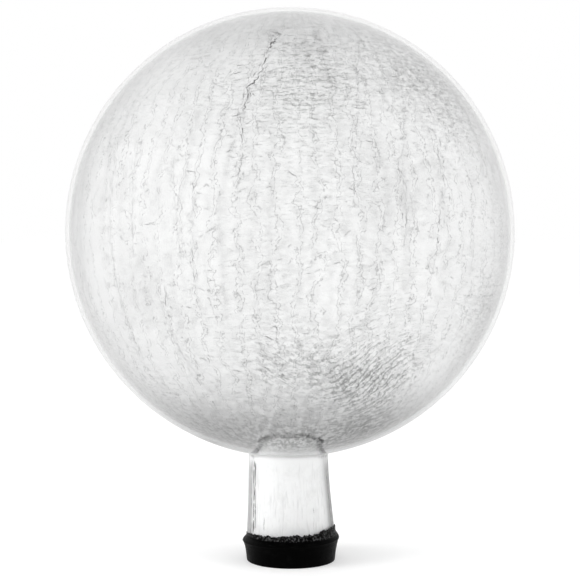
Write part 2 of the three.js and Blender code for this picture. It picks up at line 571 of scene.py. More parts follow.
@dataclass(frozen=True)
class BlownGlass:
    """Sizes that the casing and the crackled layer share, with heights above the neck's rim."""

    globe_radius: float = 0.127
    casing_wall: float = 0.002
    crackle_wall: float = 0.001
    layer_clearance: float = 0.0003
    neck_length: float = 0.0524
    root_radius: float = 0.02285
    rim_radius: float = 0.0251
    neck_wall: float = 0.003
    grip_length: float = 0.01
    root_fillet: float = 0.0025
    collar_length: float = 0.003
    root_sway: float = -0.0009
    rim_sway: float = 0.0005
    sway_runout: float = 0.015
    flare_exponent: float = 1.5
    rim_height: float = 0.008
    turns: int = 160
    crown_steps: int = 48
    bowl_steps: int = 40
    fillet_steps: int = 8
    neck_steps: int = 40
    rim_steps: int = 10

    @property
    def fillet_reach(self) -> Pair:
        """How far the fillet's middle lies from the globe's middle and from the axis."""
        return self.globe_radius + self.root_fillet, self.root_radius + self.root_fillet

    @property
    def centre_height(self) -> float:
        """Height of the globe's middle above the neck's rim."""
        reach, across = self.fillet_reach
        return self.neck_length + math.sqrt(reach ** 2 - across ** 2)

    @property
    def centre(self) -> Vector:
        """The globe's middle in the row frame."""
        return Vector((0, 0, self.rim_height + self.centre_height))

    @property
    def fillet_angle(self) -> float:
        """Angle from the top of the globe at which the fillet starts."""
        reach, across = self.fillet_reach
        return math.pi - math.asin(across / reach)

    def neck_radius(self, height: float) -> float:
        """Outer radius of the neck at a height above its rim."""
        share = clamp((self.neck_length - height) / (self.neck_length - self.grip_length))
        return lerp(self.root_radius, self.rim_radius, share ** self.flare_exponent)

    def sway(self, height: float) -> float:
        """Sideways sway of the glass at a height above the rim."""
        along = smoothstep(height, 0, self.neck_length)
        runout = 1 - smoothstep(height, self.neck_length, self.neck_length + self.sway_runout)
        return lerp(self.rim_sway, self.root_sway, along) * runout

    def line_at_depth(self, globe_depth: float, neck_depth: float, lowest: float,
                      steps: int) -> Section:
        """The line at a depth under the outer surface, from the globe's top down the neck.

        Args:
            globe_depth: Depth under the globe's surface.
            neck_depth: Depth under the neck's surface.
            lowest: Height of the line's end above the rim.
            steps: How many steps the line has down the neck.

        Returns:
            Pairs of radius and height above the rim.
        """
        radius, rise = self.globe_radius - globe_depth, self.centre_height
        angles = [QUARTER_TURN * share for share in shares(self.crown_steps)]
        angles += [lerp(QUARTER_TURN, self.fillet_angle, share)
                   for share in shares(self.bowl_steps)]
        points = [(0.0, rise + radius)]
        points += [(radius * math.sin(angle), rise + radius * math.cos(angle)) for angle in angles]
        start = math.pi - (self.fillet_angle - QUARTER_TURN)
        for share in shares(self.fillet_steps):
            angle = lerp(start, math.pi, share)
            reach = self.root_fillet + lerp(globe_depth, neck_depth, share)
            points.append((self.fillet_reach[1] + reach * math.cos(angle),
                           self.neck_length + reach * math.sin(angle)))
        heights = [lerp(self.neck_length, lowest, share) for share in shares(steps)]
        return points + [(self.neck_radius(height) - neck_depth, height) for height in heights]

    def place(self, radius: float, height: float, angle: float) -> Point:
        """Row-frame place of a point from its radius, height above the rim and turning angle."""
        across = radius * math.cos(angle) + self.sway(height)
        return across, radius * math.sin(angle), height + self.rim_height


@dataclass(frozen=True)
class ClearGlassFinish:
    """Clear blown glass of the casing and neck, or the bloomed glass of the neck's bore, with
    painted shade greying its edges.
    """

    name: str = "clear_glass"
    tint: Colour = (0.993, 0.996, 0.995, 1)
    transmission: float = 1.0
    ior: float = 1.46
    roughness: float = 0.0
    edge_shade_tone: float = 0.5
    edge_from: float = 0.76
    low_edge_shade_tone: float = 0.06
    low_edge_from: float = 0.66
    low_edge: Pair = (0.11, 0.068)
    lying: Pair = (0.4, 0.9)
    beside_neck: Pair = (0.026, 0.036)
    neck: Pair = (0.0624, 0.0524)
    neck_edge_shade_tone: float = 0.2
    neck_edge: Pair = (0.42, 0.7)
    streak_depth: float = 0.1
    root_shade_tone: float = 0.3
    root_edge: Pair = (0.3, 0.6)
    root_low_end: Pair = (0.0571, 0.0587)
    root_high_end: Pair = (0.0804, 0.0634)
    root_ragged: float = 0.005
    root_least: float = 0.45

    def material(self, effects: Effects) -> bpy.types.Material:
        """Builds the material.

        Args:
            effects: The shared effects.

        Returns:
            The material.
        """
        wires = Surface(self.name)
        height = wires.part(wires.place, "Z")
        on_neck = wires.ramp(height, *self.neck)
        facing = wires.node("LayerWeight", {"Blend": 0.5}, "Facing")
        lying = wires.part(wires.node("NewGeometry", output="Normal"), "Z")
        upright = wires.ramp(wires.math("ABSOLUTE", lying), *self.lying, 1.0, 0.0)
        free = wires.ramp(wires.off_axis(wires.place), *self.beside_neck)
        low = wires.ramp(height, *self.low_edge)
        # Painted shade: the glass greys towards its grazing edges, almost to black low on the globe
        # by the neck.
        edge = wires.blend(low, wires.ramp(facing, self.edge_from, 1.0),
                           wires.ramp(facing, self.low_edge_from, 1.0))
        edge = edge * wires.math("MAXIMUM", upright, free)
        rim = wires.mix(low, grey(self.edge_shade_tone), grey(self.low_edge_shade_tone))
        colour = wires.mix(edge, self.tint, rim)
        # Painted shade along the neck's grazing edges.
        side = wires.ramp(facing, *self.neck_edge) * on_neck
        colour = wires.mix(side, colour, grey(self.neck_edge_shade_tone))
        # Painted shade in a mottled grain round the neck's root, on top of its crazing.
        craze = self.root_crazing_and_shade(wires, effects, wires.ramp(facing, *self.root_edge) * upright)
        colour = wires.mix(craze, colour, grey(self.root_shade_tone))
        marks = wires.group(effects.streaks, Position=wires.place) * on_neck * self.streak_depth
        return wires.end_glass({
            "Base Color": wires.mix(marks, colour, grey(0)),
            "Roughness": self.roughness,
            "IOR": self.ior,
            "Transmission Weight": self.transmission,
        })

    def root_crazing_and_shade(self, wires: Surface, effects: Effects, shown: Signal) -> Signal:
        """Darkens the glass round the neck's root in a mottled grain: crazing with painted shade,
        which shows most at its grazing edges.

        Args:
            wires: The material's wiring.
            effects: The shared effects.
            shown: How much it shows, from 0 to 1.

        Returns:
            How much the crazing and painted shade darken the glass, from 0 to 1.
        """
        height = wires.part(wires.place, "Z")
        lower = height - wires.noise(wires.place, 420.0, 4.0, 0.7) * self.root_ragged
        reach = wires.ramp(lower, *self.root_low_end) * wires.ramp(height, *self.root_high_end)
        grain = wires.group(effects.mottle, Position=wires.place, Grain=0.0017, Low=0.38, High=0.6)
        return reach * shown * wires.ramp(grain, 0.0, 1.0, self.root_least, 1.0)


@dataclass(frozen=True)
class FlawFinish:
    """The dull face of a fissure or a stria inside the glass."""

    name: str
    tone: float
    roughness: float
    specular: float
    uneven: Pair = (0.7, 0.6)

    def material(self, effects: Effects, centre: Vector) -> bpy.types.Material:
        """Builds the material.

        Args:
            effects: The shared effects.
            centre: The globe's middle in the row frame.

        Returns:
            The material.
        """
        wires = Surface(self.name)
        uneven = wires.group(effects.mottle, Position=wires.from_centre(centre), Grain=6.0)
        least, more = self.uneven
        return wires.end_dull({
            "Base Color": wires.grey(uneven * (self.tone * more) + self.tone * least),
            "Roughness": self.roughness,
            "Specular IOR Level": self.specular,
        })


@dataclass(frozen=True)
class NeckStriae:
    """Long thin striae that the drawing of the neck left in its wall, each in broken strands.

    The lines at the front say where they are: degrees from the front, the heights of their two
    ends above the rim, and half their width. The spans say between which ends the draws lie.
    """

    glass: BlownGlass
    seed: int = 5
    depth: float = 0.0011
    half_thickness: float = 0.00005
    step: float = 0.0016
    stray: float = 0.3438
    wave: float = 1.6
    wave_rate: float = 110
    lines: tuple[tuple[float, float, float, float], ...] = (
        (-60.0, 0.0510, 0.0080, 0.00050),
        (-56.5, 0.0500, 0.0080, 0.00040),
        (-67.0, 0.0510, 0.0080, 0.00024),
        (79.0, 0.0510, 0.0080, 0.00045),
        (72.0, 0.0420, 0.0090, 0.00020),
        (84.0, 0.0510, 0.0080, 0.00040),
        (-38.0, 0.0200, 0.0080, 0.00010),
        (34.0, 0.0260, 0.0090, 0.00010),
    )
    back_lines: int = 12
    back_span: Pair = (85, 275)
    back_tops: Pair = (0.02, 0.05)
    back_lowest: float = 0.008
    back_shortest: float = 0.01
    back_widths: Pair = (0.0001, 0.0003)
    strand_steps: tuple[int, int] = (4, 9)
    strand_widths: Pair = (0.5, 1.1)
    strand_tilts: Pair = (0.2, 1.2)
    overlaps: tuple[int, ...] = (0, 1, 1, 2)

    def build(self) -> bpy.types.Object:
        """Builds the striae as one piece."""
        draw = random.Random(self.seed)
        lines = list(self.lines)
        for _ in range(self.back_lines):
            top = draw.uniform(*self.back_tops)
            lines.append((draw.uniform(*self.back_span), top,
                          draw.uniform(self.back_lowest, top - self.back_shortest),
                          draw.uniform(*self.back_widths)))
        strands = []
        for longitude, height, bottom, half_width in lines:
            while height > bottom + self.strand_steps[0] * self.step:
                steps = draw.randint(*self.strand_steps)
                points = [self.point(longitude, height - index * self.step, draw)
                          for index in range(steps)]
                width = half_width * draw.uniform(*self.strand_widths)
                tilt = math.copysign(draw.uniform(*self.strand_tilts), longitude)
                strands.append(Strand(points, width, self.half_thickness, tilt))
                height -= (steps - draw.choice(self.overlaps)) * self.step
        return sliver_mesh("neck_striae", strands, draw)

    def point(self, longitude: float, height: float, draw: random.Random
              ) -> tuple[Vector, Vector]:
        """A point of a stria and the way outwards.

        Args:
            longitude: Degrees from the front, positive to the right.
            height: Height above the rim.
            draw: Lets it stray a little.

        Returns:
            The point in the row frame and its outward direction.
        """
        wave = self.wave * noise.noise((longitude, height * self.wave_rate, 0.0))
        out = Vector(outwards(longitude + wave + self.stray * draw.uniform(-1, 1)))
        place = out * (self.glass.neck_radius(height) - self.depth)
        return Vector((place.x + self.glass.sway(height), place.y,
                       height + self.glass.rim_height)), out


@dataclass(frozen=True)
class GlassGlobe:
    """The clear casing of the globe with the neck drawn out of it."""

    glass: BlownGlass
    finish: ClearGlassFinish = ClearGlassFinish()
    bore: ClearGlassFinish = ClearGlassFinish(name="bloomed_glass", roughness=0.3, transmission=0.3,
                                              neck_edge_shade_tone=0.985, root_shade_tone=0.8,
                                              streak_depth=0.16)
    flaw: FlawFinish = FlawFinish("stria_face", 0.05, 0.4, 0.4)
    bloom_rise: int = 8
    draw_marks: float = 0.00024
    marks_around: float = 90
    marks_along: float = 14
    marks_ease: Pair = (0.006, 0.01)

    def build(self, effects: Effects) -> None:
        """Builds the casing and dresses it.

        Args:
            effects: The shared effects.
        """
        glass = self.glass
        lowest = glass.neck_wall / 2
        outer = glass.line_at_depth(0, 0, lowest, glass.neck_steps)
        inner = glass.line_at_depth(glass.casing_wall, glass.neck_wall, lowest, glass.neck_steps)
        edge = rounded_edge(inner[-1], outer[-1], glass.rim_steps)
        bore = {radius for radius, height in inner if height < glass.neck_length}

        def place(radius: float, height: float, angle: float) -> Point:
            """Place of a point: the neck's bore is drawn a little unevenly."""
            if radius in bore:
                low, high = self.marks_ease
                ease = smoothstep(height, lowest, lowest + low)
                ease *= 1 - smoothstep(height, glass.neck_length - high, glass.neck_length)
                around = self.marks_around * radius
                radius += self.draw_marks * ease * noise.noise((
                    around * math.cos(angle), around * math.sin(angle), self.marks_along * height))
            return glass.place(radius, height, angle)

        piece = turned_mesh("globe_casing", [*inner, *edge, *reversed(outer)], glass.turns, place)
        finishes = [self.finish.material(effects), self.bore.material(effects)]
        settle(piece, Body.GLOBE, Slot.CLEAR_GLASS, finishes, "glass_globe")
        last = len(inner) - 1
        use_second_finish(piece, (last - glass.neck_steps - self.bloom_rise) * glass.turns,
                          last * glass.turns)
        flaw = self.flaw.material(effects, glass.centre)
        settle(NeckStriae(glass).build(), Body.GLOBE, Slot.CLEAR_GLASS, [flaw])


@dataclass(frozen=True)
class Region:
    """A soft round region of the crackled wall: spot in degrees, reach in mm, crackle density, and
    painted shade (painted light where negative).
    """

    longitude: float
    latitude: float
    reach: float
    density: float
    haze_and_painted_shade: float

    def spot(self, radius: float) -> Point:
        """The region's middle on a globe of a radius."""
        x, y, z = outwards(self.longitude, self.latitude)
        return x * radius, y * radius, z * radius


@dataclass(frozen=True)
class CrackleGlassFinish:
    """Crackled glass of the inner layer, with positions in millimetres from the globe's middle."""

    wall_radius: float = 124.0
    ior: float = 1.03
    roughness: float = 0.28
    relief: float = 0.00008
    field_tone: float = 0.985
    coarse_depth: float = 0.5
    fine_depth: float = 0.11
    link_depth: float = 0.3
    meridian_depth: float = 0.34
    haze_depth: float = 0.01
    haze_and_shade_depth: float = 0.6
    random_haze: float = 0.015
    grain_depth: float = 0.045
    grain_in_haze_and_shade: float = 2.5
    grain_most: float = 0.6
    grain_turn: float = 55.0
    glint: float = 0.07
    contrast: float = 2.0
    collar_end: Pair = (-128.7, -125.7)
    collar_fade: float = 7.0
    throat: Pair = (42.0, 26.0)
    throat_clear: float = 0.5
    base_density: float = 0.1
    spread_density: float = 0.24
    least_strength: float = 0.15
    dense_strength: float = 1.05
    broken: float = 0.61
    dense_broken: float = 0.2
    link_broken: float = 0.09
    swirl: Region = Region(26, -36, 46, 0.9, 0.05)
    swirl_reach: float = 69.0
    swirl_turn: float = math.radians(50)
    link_turn: float = math.radians(75)
    regions: tuple[Region, ...] = (
        Region(0, 90, 84, 0.4, 0.12),
        Region(4, 38, 54, 0.5, 0.04),
        Region(50, 42, 62, 0.5, 0.1),
        Region(2, -33, 42, 0.35, 0.07),
        Region(0, -90, 108, 0.8, 0.44),
        Region(8, -9, 44, -0.2, 0.0),
        Region(35, -62, 44, 0.5, 0.12),
        Region(-40, -2, 74, -0.6, -0.12),
        Region(37, 2, 46, -0.3, -0.04),
        Region(63, -21, 46, 0.2, 0.06),
        Region(140, 10, 60, 0.3, 0.03),
        Region(-130, -20, 60, 0.35, 0.03),
        Region(180, 30, 50, -0.3, -0.02),
    )

    def material(self, effects: Effects, centre: Vector) -> bpy.types.Material:
        """Builds the material.

        Args:
            effects: The shared effects.
            centre: The globe's middle in the row frame.

        Returns:
            The material.
        """
        wires = Surface("crackle_glass")
        place = wires.from_centre(centre)
        # Painted shade darkens the top and most of all the bottom; painted light brightens the
        # sides.
        density, haze_and_painted_shade = self.spread(wires, effects, place)
        spot = self.swirl.spot(self.wall_radius)
        swirl = wires.group(effects.patch, Position=place, Spot=spot, Reach=self.swirl_reach)
        turned = wires.turned(place, swirl * self.swirl_turn, spot)
        broken = self.broken - density * self.dense_broken
        coarse = wires.group(effects.crazing, Position=turned, Length=6.4, Spacing=2.4,
                             Broken=broken)
        fine = wires.group(effects.crazing, Position=turned, Length=3.2, Spacing=1.3,
                           Broken=broken)
        links = wires.group(effects.crazing, Position=wires.turned(turned, self.link_turn),
                            Length=4.0, Spacing=2.6, Width=0.26, Broken=broken + self.link_broken)
        haze = wires.group(effects.mottle, Position=place, Grain=9.0, Low=0.42, High=0.62)
        strength = self.least_strength + density * self.dense_strength
        keep: float | Signal = 1.0
        for mask, depth in (
            (coarse * strength, self.coarse_depth),
            (fine * strength, self.fine_depth),
            (links * strength, self.link_depth),
            (wires.group(effects.meridians, Position=place), self.meridian_depth),
            (haze, self.haze_depth),
            (self.grain(wires, effects, place, haze_and_painted_shade), 1.0),
            (haze_and_painted_shade, self.haze_and_shade_depth),
        ):
            keep = keep * (1.0 - mask * depth)
        tone = self.fading(wires, place, keep * self.field_tone)
        tone = wires.math("ADD", tone, coarse.other("Glints") * self.glint, clamped=True)
        bump = wires.node("Bump", {"Height": coarse + fine, "Distance": self.relief}, invert=True)
        return wires.end_glass({
            "Base Color": wires.grey(wires.math("POWER", tone, self.contrast)),
            "Roughness": self.roughness,
            "IOR": self.ior,
            "Transmission Weight": 1.0,
            "Normal": bump,
        })

    def grain(self, wires: Surface, effects: Effects, place: Signal, haze_and_painted_shade: Signal) -> Signal:
        """The fine grain, drawn out inwards and stronger where the haze and painted shade are
        thick.

        Args:
            wires: The material's wiring.
            effects: The shared effects.
            place: The position from the globe's middle.
            haze_and_painted_shade: The haze with its painted shade.

        Returns:
            How much light it holds back.
        """
        around = wires.vector("NORMALIZE", place * LEVEL)
        around = wires.vector("MULTIPLY_ADD", around, (self.grain_turn,) * 3, place * UPRIGHT)
        grain = wires.group(effects.mottle, Position=around, Grain=1.9, Low=0.43, High=0.58)
        depth = self.grain_depth + haze_and_painted_shade * self.grain_in_haze_and_shade
        return grain * wires.math("MINIMUM", self.grain_most, depth)

    def fading(self, wires: Surface, place: Signal, tone: Signal) -> Signal:
        """Lets the crackle thin out raggedly towards the end of the collar in the neck.

        Args:
            wires: The material's wiring.
            place: The position from the globe's middle.
            tone: The crackle's tone.

        Returns:
            The tone, which is plain clear glass where the crackle ends.
        """
        ragged = wires.noise(place, 0.45, 4.0, 0.7) * self.collar_fade
        clear = wires.ramp(wires.part(place, "Z") - ragged, *self.collar_end, 1.0, 0.0)
        thin = wires.ramp(wires.off_axis(place), *self.throat, 0.0, self.throat_clear)
        return wires.blend(wires.math("MAXIMUM", thin, clear), tone, 1.0)

    def spread(self, wires: Surface, effects: Effects, place: Signal) -> tuple[Signal, Signal]:
        """Spreads the crackle over the globe: dense here, thin there, with a haze and painted
        shade.

        Args:
            wires: The material's wiring.
            effects: The shared effects.
            place: The position from the globe's middle.

        Returns:
            How dense the crackle is, and its haze with painted shade: darker at the top and most at
            the bottom, with painted light at the sides.
        """
        wide = wires.group(effects.mottle, Position=place, Grain=32.0, Low=0.35, High=0.65)
        density = self.base_density + wide * self.spread_density
        haze_and_painted_shade = wide * self.random_haze
        # Each region adds crackle density and painted shade, or painted light where its value is
        # negative.
        for region in (*self.regions, self.swirl):
            amount = wires.group(effects.patch, Position=place, Reach=region.reach,
                                 Spot=region.spot(self.wall_radius))
            density = density + amount * region.density
            haze_and_painted_shade = haze_and_painted_shade + amount * region.haze_and_painted_shade
        return wires.math("MAXIMUM", density, 0.0), haze_and_painted_shade


@dataclass(frozen=True)
class InnerFaceFinish:
    """The crackled layer's inner face, which is smooth and only a little hazy."""

    haze: float = 0.02
    ior: float = 1.03
    roughness: float = 0.28

    def material(self, effects: Effects) -> bpy.types.Material:
        """Builds the material.

        Args:
            effects: The shared effects.

        Returns:
            The material.
        """
        wires = Surface("crackle_inner_face")
        haze = wires.group(effects.mottle, Position=wires.place, Grain=0.009)
        return wires.end_glass({
            "Base Color": wires.mix(haze, grey(1), grey(1 - self.haze)),
            "Roughness": self.roughness,
            "IOR": self.ior,
            "Transmission Weight": 1.0,
        })


@dataclass(frozen=True)
class Hand:
    """How cracks of one kind are drawn.

    It holds how far they stray in metres, the most steps that one has, the most steps left out
    between two (or if negative by which they overlap), and half the width of the widest.
    """

    jitter: float
    longest: int
    gap: int
    half_width: float


@dataclass
class FissureNet:
    """The open fissures of the crackled wall: ragged lines down the globe with rungs between.

    A front course holds how open the fissure is and the points that it passes, in degrees.
    The spans say between which ends the draws lie.
    """

    glass: BlownGlass
    seed: int = 11
    depth: float = 0.0028
    half_thickness: float = 0.00006
    stride: float = 0.0014
    least_shrink: float = 0.2
    drift_kept: float = 0.8
    drift_share: float = 0.5
    shake_share: float = 0.6
    widths: Pair = (0.35, 1.0)
    tilts: Pair = (0.7, 1.35)
    front_courses: tuple[tuple[float, Course], ...] = (
        (1.1, ((-3.6, 61), (-7.4, 49.9), (-9.1, 40.3), (-11.8, 36.2), (-11.8, 28.1))),
        (0.6, ((-11.8, 28.1), (-11.4, 18.9), (-12.4, 6))),
        (0.7, ((15, 62), (10.5, 54), (12.6, 50), (12.6, 46))),
        (0.6, ((31.5, 58.6), (21.7, 42.5), (15.1, 15.2), (14.5, 5))),
        (0.6, ((38.2, 46), (27.6, 17.3), (27.5, 4.3), (26.8, -4))),
        (0.6, ((44, 44), (42.3, 35.3), (36.8, 0), (35.8, -10.8))),
        (0.6, ((52, 42), (50, 31), (47, 18))),
        (0.5, ((62, 44), (60, 31.3), (56, 12))),
        (0.4, ((-52, 34), (-48.4, 13), (-46.6, -10.8), (-45.5, -26.4), (-45.7, -32.6))),
        (0.35, ((-42, 22), (-40.3, 8.7), (-39, -6))),
        (0.45, ((-31, -12), (-31.8, -23.6), (-27.5, -36.3), (-22.8, -47.6), (-14.9, -54.5))),
        (0.35, ((-29, 18), (-26.6, 2.3), (-25, -8))),
        (0.35, ((-23, 12), (-22.4, 0), (-23, -12))),
        (0.7, ((18, -38), (12, -50), (8, -58))),
        (0.4, ((-66, 30), (-63, 8), (-62, -16))),
    )
    back_span: Pair = (70.0, 290.0)
    back_spacing: float = 12.0
    back_tops: Pair = (30, 64)
    back_ends: Pair = (-55, 5)
    back_lean: float = 7
    back_stray: float = 2.5
    back_turns: int = 5
    back_openness: Pair = (0.4, 1.0)
    back_gaps: Pair = (0.6, 1.4)
    main: Hand = Hand(0.0008, 8, 1, 0.00032)
    wide_open: Hand = Hand(0.0013, 8, -2, 0.00032)
    sides: tuple[tuple[Pair, Hand], ...] = (
        ((0.001, 0.0024), Hand(0.0007, 4, 5, 0.0002)),
        ((-0.0024, -0.001), Hand(0.0007, 4, 6, 0.0002)),
    )
    rung: Hand = Hand(0.0006, 4, 2, 0.0002)
    rung_length: float = 0.014
    rung_shares: Pair = (0.25, 1.0)
    rung_bows: Pair = (-0.6, 1.6)
    rung_slope: float = 1.4
    rungs_per_course: int = 12
    twig: Hand = Hand(0.0005, 4, 0, 0.0003)
    twig_leans: Pair = (1.2, 2.6)
    twig_rises: Pair = (1.0, 2.4)
    twigs_per_course: int = 9
    loose: Hand = Hand(0.0005, 4, 2, 0.00016)
    loose_length: float = 0.009
    loose_heights: Pair = (-0.8, 0.93)
    loose_cracks: int = 2600

    def __post_init__(self) -> None:
        """Starts the repeatable draws and the list of strands."""
        self.draw = random.Random(self.seed)
        self.radius = self.glass.globe_radius - self.depth
        self.degree = math.radians(1) * self.radius
        self.strands: list[Strand] = []

    def either(self, low: float, high: float) -> float:
        """Draws from a span, to one side or the other."""
        return self.draw.uniform(low, high) * self.draw.choice((-1, 1))

    def shrunk(self, latitude: float) -> float:
        """Metres in a degree of longitude, which shrinks towards the top and the neck."""
        return self.degree * max(math.cos(math.radians(latitude)), self.least_shrink)

    def courses(self) -> list[tuple[float, Course]]:
        """The long fissures: how open each is, and its course in degrees."""
        found: list[tuple[float, Course]] = list(self.front_courses)
        longitude, until = self.back_span
        while longitude < until:
            top = self.draw.uniform(*self.back_tops)
            end = self.draw.uniform(*self.back_ends)
            lean = self.draw.uniform(-self.back_lean, self.back_lean)
            course = []
            for turn in range(self.back_turns):
                share = turn / (self.back_turns - 1)
                stray = self.draw.uniform(-self.back_stray, self.back_stray)
                course.append((longitude + lean * (share - 0.5) + stray, lerp(top, end, share)))
            found.append((self.draw.uniform(*self.back_openness), course))
            longitude += self.back_spacing * self.draw.uniform(*self.back_gaps)
        return found

    def walk(self, course: Course, jitter: float, offset: float = 0.0) -> Section:
        """Follows a course in short ragged steps.

        Args:
            course: The points to pass, in degrees.
            jitter: How far a step strays sideways, in metres.
            offset: How far the whole walk lies to the side, in metres.

        Returns:
            The points of the walk, in degrees.
        """
        points = []
        drift = 0.0
        for start, end in zip(course, course[1:]):
            middle = math.radians((start[1] + end[1]) / 2)
            across = (end[0] - start[0]) * self.degree * math.cos(middle)
            rise = (end[1] - start[1]) * self.degree
            length = math.hypot(across, rise)
            steps = max(1, round(length / self.stride))
            for step in range(steps):
                drift *= self.drift_kept
                drift += self.draw.uniform(-jitter, jitter) * self.drift_share
                side = drift + self.draw.uniform(-jitter, jitter) * self.shake_share + offset
                longitude, latitude = between(start, end, step / steps)
                latitude -= side * (across / length) / self.degree
                longitude += side * (rise / length) / self.shrunk(latitude)
                points.append((longitude, latitude))
        return points

    def crack(self, walk: Section, hand: Hand, openness: float = 1.0) -> None:
        """Breaks a walk into cracks and lays them on the wall.

        Args:
            walk: The walk's points, in degrees.
            hand: How they are drawn.
            openness: How open they are.
        """
        start = 0
        while start < len(walk) - 2:
            length = self.draw.randint(2, hand.longest)
            part = walk[start:start + length + 1]
            if len(part) > 2:
                width = hand.half_width * openness * self.draw.uniform(*self.widths)
                ways = [Vector(outwards(*spot)) for spot in part]
                points = [(self.glass.centre + out * self.radius, out) for out in ways]
                tilt = self.either(*self.tilts)
                self.strands.append(Strand(points, width, self.half_thickness, tilt))
            start += max(1, length + self.draw.randint(min(hand.gap, 0), max(hand.gap, 0)))

    def bowed(self, start: Pair, longest: float) -> Section:
        """A short course along the horizontal, which bows a little.

        Args:
            start: Longitude and latitude of its start.
            longest: Its greatest length in metres.

        Returns:
            The course, in degrees.
        """
        longitude, latitude = start
        reach = self.either(*self.rung_shares) * longest / self.shrunk(latitude)
        bow = self.draw.uniform(*self.rung_bows)
        slope = self.draw.uniform(-self.rung_slope, self.rung_slope)
        return [start, (longitude + reach / 2, latitude + bow + slope / 2),
                (longitude + reach, latitude + slope)]

    def crack_course(self, openness: float, course: Course) -> None:
        """Cracks the wall along a course, with thinner cracks on both sides, rungs and twigs.

        Args:
            openness: How open the fissure is.
            course: The points that it passes, in degrees.
        """
        hand = self.main if openness < 1 else self.wide_open
        main = self.walk(course, hand.jitter)
        self.crack(main, hand, openness)
        for offsets, side in self.sides:
            offset = self.draw.uniform(*offsets)
            self.crack(self.walk(course, side.jitter, offset), side, openness)
        for _ in range(self.rungs_per_course):
            rung = self.bowed(self.draw.choice(main), self.rung_length)
            self.crack(self.walk(rung, self.rung.jitter), self.rung, openness)
        for _ in range(self.twigs_per_course):
            start = self.draw.choice(main)
            lean = self.either(*self.twig_leans)
            twig = [start, (start[0] + lean, start[1] + self.either(*self.twig_rises))]
            self.crack(self.walk(twig, self.twig.jitter), self.twig, openness)

    def build(self) -> bpy.types.Object:
        """Builds the whole net as one piece."""
        for openness, course in self.courses():
            self.crack_course(openness, course)
        for _ in range(self.loose_cracks):
            latitude = math.degrees(math.asin(self.draw.uniform(*self.loose_heights)))
            course = self.bowed((self.draw.uniform(-180, 180), latitude), self.loose_length)
            self.crack(self.walk(course, self.loose.jitter), self.loose)
        return sliver_mesh("fissures", self.strands, self.draw)


@dataclass(frozen=True)
class CrackleLayer:
    """The crackled layer inside the casing, with its open fissures."""

    glass: BlownGlass
    finish: CrackleGlassFinish = CrackleGlassFinish()
    inner_finish: InnerFaceFinish = InnerFaceFinish()
    dull: FlawFinish = FlawFinish("fissure_face", 0.16, 0.35, 0.5)
    collar_steps: int = 6
    collar_edge: float = 0.0001

    def build(self, effects: Effects) -> None:
        """Builds the layer and its fissures and dresses them.

        Args:
            effects: The shared effects.
        """
        glass = self.glass
        outer, inner = (
            glass.line_at_depth(glass.casing_wall + depth, glass.neck_wall + depth,
                                glass.neck_length - glass.collar_length, self.collar_steps)
            for depth in (glass.layer_clearance, glass.layer_clearance + glass.crackle_wall)
        )
        for index, share in enumerate(shares(self.collar_steps), -self.collar_steps):
            thin = lerp(glass.crackle_wall, self.collar_edge, share)
            inner[index] = (outer[index][0] - thin, inner[index][1])
        piece = turned_mesh("crackled_wall", [*inner, *reversed(outer)], glass.turns, glass.place)
        finishes = [self.finish.material(effects, glass.centre),
                    self.inner_finish.material(effects)]
        settle(piece, Body.GLOBE, Slot.CRACKLE_GLASS, finishes, "crackle_layer")
        use_second_finish(piece, 0, (len(inner) - 1) * glass.turns)
        dull = self.dull.material(effects, glass.centre)
        settle(FissureNet(glass).build(), Body.GLOBE, Slot.CRACKLE_GLASS, [dull])


@dataclass(frozen=True)
class RubberFinish:
    """Black moulded rubber: scuffed, a little dusty, with painted grey glints on its stretched thin
    mouth.
    """

    tone: float = 0.0003
    dust_tone: float = 0.0016
    mouth_glint_tone: float = 0.06
    mouth: Pair = (0.0147, 0.0156)
    roughness: Pair = (0.38, 0.6)
    specular: float = 0.02
    grain: float = 0.00003

    def material(self, effects: Effects) -> bpy.types.Material:
        """Builds the material.

        Args:
            effects: The shared effects.

        Returns:
            The material.
        """
        wires = Surface("black_rubber")
        dust = wires.group(effects.mottle, Position=wires.place, Grain=0.004, Low=0.5, High=0.75)
        glints = wires.group(effects.mottle, Position=wires.place, Grain=0.0011, Low=0.48,
                             High=0.66)
        pores = wires.group(effects.mottle, Position=wires.place, Grain=0.0005)
        # Painted grey glints on the thin mouth, above the lip.
        mouth = glints * wires.ramp(wires.part(wires.place, "Z"), *self.mouth)
        low, high = self.roughness
        return wires.end_dull({
            "Base Color": wires.grey(self.tone + dust * self.dust_tone + mouth * self.mouth_glint_tone),
            "Roughness": low + dust * (high - low),
            "Specular IOR Level": self.specular,
            "Normal": wires.node("Bump", {"Height": pores, "Distance": self.grain}),
        })


